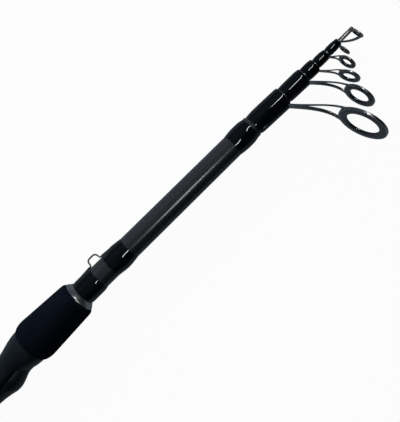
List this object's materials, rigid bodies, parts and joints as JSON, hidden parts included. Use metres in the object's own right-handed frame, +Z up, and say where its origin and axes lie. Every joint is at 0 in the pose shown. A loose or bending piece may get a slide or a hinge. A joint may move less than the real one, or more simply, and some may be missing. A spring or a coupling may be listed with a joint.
{
  "type": "telescopic fishing rod",
  "caption": "Collapsed telescopic fishing rod: nested carbon sections with ring guides, foam grips, a screw-down reel seat, a hook keeper and a screw-in butt cap.",
  "frame": {"origin": "centre of the butt cap's flat end face, on the rod's axis", "axes": "+X along the rod towards the tip, -Y towards the reel's side, +Z up as the rod lies in the picture, towards the camera"},
  "size_m": [0.6064, 0.0792, 0.0568],
  "materials": {
    "carbon_blank": "clear gloss over carbon cloth",
    "epoxy_wrap": "thread under gloss epoxy",
    "eva_foam": "matte closed-cell foam",
    "seat_plastic": "soft matte",
    "trim_metal": "satin gunmetal",
    "guide_metal": "dark gunmetal plating",
    "keeper_wire": "dark gunmetal plating",
    "ring_ceramic": "polished",
    "cap_plastic": "matte",
    "seal_rubber": "matte"
  },
  "bodies": {
    "handle": {"butt_blank": "carbon_blank", "rear_grip": "eva_foam", "reel_seat": "seat_plastic", "fore_grip": "eva_foam", "winding_check": "trim_metal", "keeper_wrap_rear": "epoxy_wrap", "keeper_wrap_front": "epoxy_wrap", "hook_keeper": "keeper_wire", "collar_wrap": "epoxy_wrap", "butt_bush": "trim_metal"},
    "moving_hood": {"moving_hood": "seat_plastic"},
    "lock_nut": {"lock_nut": "seat_plastic"},
    "cap_seal": {"cap_seal": "seal_rubber"},
    "butt_cap": {"butt_cap": "cap_plastic", "cap_pad": "seal_rubber"},
    "section_2": {"section_2_blank": "carbon_blank", "section_2_wrap": "epoxy_wrap", "guide_1_frame": "guide_metal", "guide_1_ring": "ring_ceramic"},
    "section_3": {"section_3_blank": "carbon_blank", "section_3_wrap": "epoxy_wrap", "guide_2_frame": "guide_metal", "guide_2_ring": "ring_ceramic"},
    "section_4": {"section_4_blank": "carbon_blank", "section_4_wrap": "epoxy_wrap", "guide_3_frame": "guide_metal", "guide_3_ring": "ring_ceramic"},
    "section_5": {"section_5_blank": "carbon_blank", "section_5_wrap": "epoxy_wrap", "guide_4_frame": "guide_metal", "guide_4_ring": "ring_ceramic"},
    "section_6": {"section_6_blank": "carbon_blank", "section_6_wrap": "epoxy_wrap", "guide_5_frame": "guide_metal", "guide_5_ring": "ring_ceramic"},
    "tip": {"tip_blank": "carbon_blank", "tip_top_frame": "guide_metal", "tip_top_ring": "ring_ceramic"}
  },
  "joints": [
    {"name": "hood_slide", "type": "slide", "parent": "handle", "child": "moving_hood", "axis": [1, 0, 0], "range_m": [0, 0.018]},
    {"name": "nut_turn", "type": "hinge", "parent": "moving_hood", "child": "lock_nut", "pos_m": [0.2, 0, 0], "axis": [1, 0, 0], "range_deg": [0, 3240]},
    {"name": "cap_slide", "type": "slide", "parent": "handle", "child": "cap_seal", "axis": [-1, 0, 0], "range_m": [0, 0.01]},
    {"name": "cap_turn", "type": "hinge", "parent": "cap_seal", "child": "butt_cap", "pos_m": [0.007, 0, 0], "axis": [-1, 0, 0], "range_deg": [0, 1800]},
    {"name": "section_2_draw", "type": "slide", "parent": "handle", "child": "section_2", "axis": [1, 0, 0], "range_m": [0, 0.4]},
    {"name": "section_3_draw", "type": "slide", "parent": "section_2", "child": "section_3", "axis": [1, 0, 0], "range_m": [0, 0.4]},
    {"name": "section_4_draw", "type": "slide", "parent": "section_3", "child": "section_4", "axis": [1, 0, 0], "range_m": [0, 0.4]},
    {"name": "section_5_draw", "type": "slide", "parent": "section_4", "child": "section_5", "axis": [1, 0, 0], "range_m": [0, 0.4]},
    {"name": "section_6_draw", "type": "slide", "parent": "section_5", "child": "section_6", "axis": [1, 0, 0], "range_m": [0, 0.4]},
    {"name": "tip_draw", "type": "slide", "parent": "section_6", "child": "tip", "axis": [1, 0, 0], "range_m": [0, 0.4]}
  ],
  "couplings": [
    {"joint": "hood_slide", "follows": "nut_turn", "m_per_rad": 0.00031831},
    {"joint": "cap_slide", "follows": "cap_turn", "m_per_rad": 0.00031831}
  ]
}
